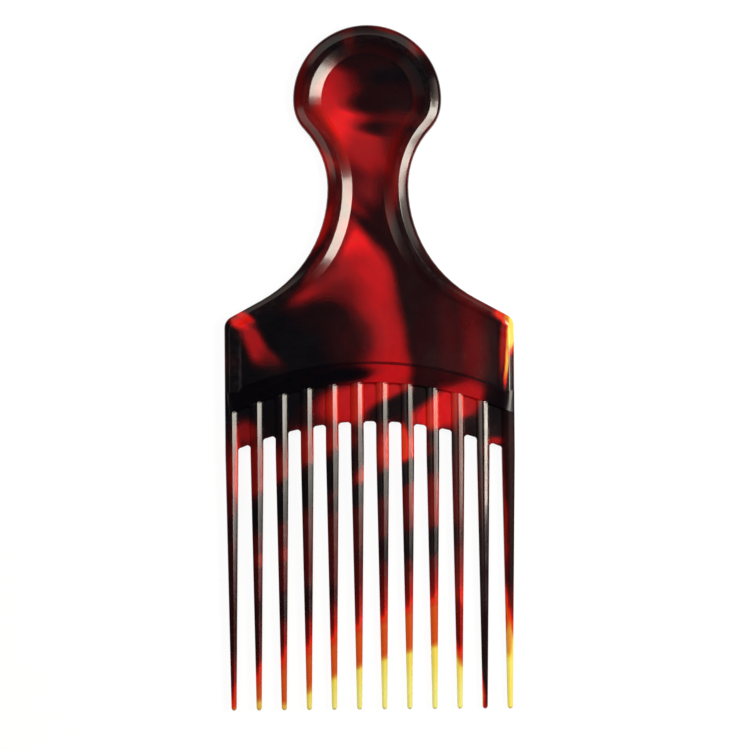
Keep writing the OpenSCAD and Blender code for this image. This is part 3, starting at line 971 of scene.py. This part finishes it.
@dataclass(frozen=True)
class Studio:
    """Plain soft studio light, the world and the camera over the table.

    The frame's width and the camera's aim from the middle of the pick are in millimetres.
    """

    lens: float = 120.0
    sensor: float = 36.0
    nearest: float = 0.01
    frame_width: float = 186.35
    roll: float = math.radians(-0.48)
    aim_right: float = 1.40
    aim_up: float = -1.89
    # Name, both ends, width and radiance. The windows stand on the right
    softboxes: tuple[Softbox, ...] = (
        Softbox("window_1", (184.5, 93.0), (184.5, -85.0), 121.0, 9.0),
        Softbox("window_2", (253.5, 93.0), (253.5, -38.0), 17.0, 9.0),
        Softbox("window_3", (275.0, 55.0), (275.0, -38.0), 26.0, 9.0),
        Softbox("window_4", (303.0, 93.0), (303.0, -20.0), 30.0, 9.0),
        Softbox("window_5", (348.0, 20.0), (348.0, -20.0), 60.0, 9.0),
        Softbox("window_6", (333.0, -20.0), (333.0, -62.0), 90.0, 2.5),
        Softbox("window_7", (266.5, -38.0), (266.5, -62.0), 43.0, 2.5),
        Softbox("window_8", (307.5, -62.0), (307.5, -85.0), 125.0, 1.0),
        Softbox("window_edge", (384.0, -18.0), (384.0, -70.0), 28.0, 13.0),
        Softbox("window_sky", (311.0, 93.0), (311.0, 200.0), 46.0, 1.2),
        Softbox("left_fill", (-185.0, -90.0), (-310.0, 40.0), 80.0, 0.8),
        Softbox("left_faint", (-150.0, 95.0), (-125.0, -30.0), 40.0, 0.1),
        Softbox("back_fill", (-260.0, 330.0), (220.0, 330.0), 150.0, 0.5))
    # The diffuser overhead: strength, size and turn in degrees. It casts no highlight
    overhead: float = 1.4
    overhead_size: float = 40.0
    overhead_turn: Pair = (-14.0, -12.0)
    # Strength of the world to everything but the camera
    ambient: float = 0.025

    def build(self) -> None:
        """Builds the lamps, the world and the camera."""
        for softbox in self.softboxes:
            softbox.build()
        lamp = bpy.data.lights.new("overhead_diffuser", "SUN")
        lamp.energy = self.overhead
        lamp.angle = math.radians(self.overhead_size)
        made = linked("overhead_diffuser", lamp)
        made.rotation_euler = (*(math.radians(turn) for turn in self.overhead_turn), 0.0)
        made.visible_glossy = False
        self.world()
        self.camera()

    def world(self) -> None:
        """Makes the world: white to the camera, and dim to everything else."""
        made = bpy.data.worlds.new("studio")
        bpy.context.scene.world = made
        graph = blank_graph(made)
        rays = graph.node("ShaderNodeLightPath").outputs
        level = graph.blend(rays["Is Camera Ray"], self.ambient, 1.0)
        light = graph.node("ShaderNodeBackground", {"Color": WHITE, "Strength": level})
        graph.node("ShaderNodeOutputWorld", {"Surface": light.outputs[0]})

    def camera(self) -> bpy.types.Object:
        """Makes the camera, which looks straight down.

        Returns:
            The camera.
        """
        lens = bpy.data.cameras.new("camera")
        lens.lens = self.lens
        lens.sensor_width = self.sensor
        lens.clip_start = self.nearest
        made = linked("camera", lens)
        low, high = (Vector(corner) for corner in CAD_BOX)
        right = Vector((math.cos(self.roll), math.sin(self.roll), 0.0))
        up = Vector((-math.sin(self.roll), math.cos(self.roll), 0.0))
        aim = (low + high) / 2 + (right * self.aim_right + up * self.aim_up) * MM
        distance = self.frame_width * MM * self.lens / self.sensor
        made.location = aim + Vector((0.0, 0.0, distance))
        made.rotation_euler = (0.0, 0.0, self.roll)
        bpy.context.scene.camera = made
        return made


def write_sizes() -> None:
    """Updates the view layer."""
    bpy.context.view_layer.update()


def main() -> None:
    """Builds the pick, the table and the studio, and reports each piece."""
    logging.basicConfig(level=logging.INFO, format="%(message)s")
    plastic = Plastic(Shell(), MarksAndPaintedLight(), Optics())
    for part in (Handle(), CombBack(), ToothRow()):
        for piece in part.build(plastic):
            LOG.info("%s: %d faces", piece.name, len(piece.data.polygons))
    Table().build()
    Studio().build()
    bpy.context.scene.view_settings.view_transform = "Standard"
    write_sizes()


if __name__ == "__main__":
    main()
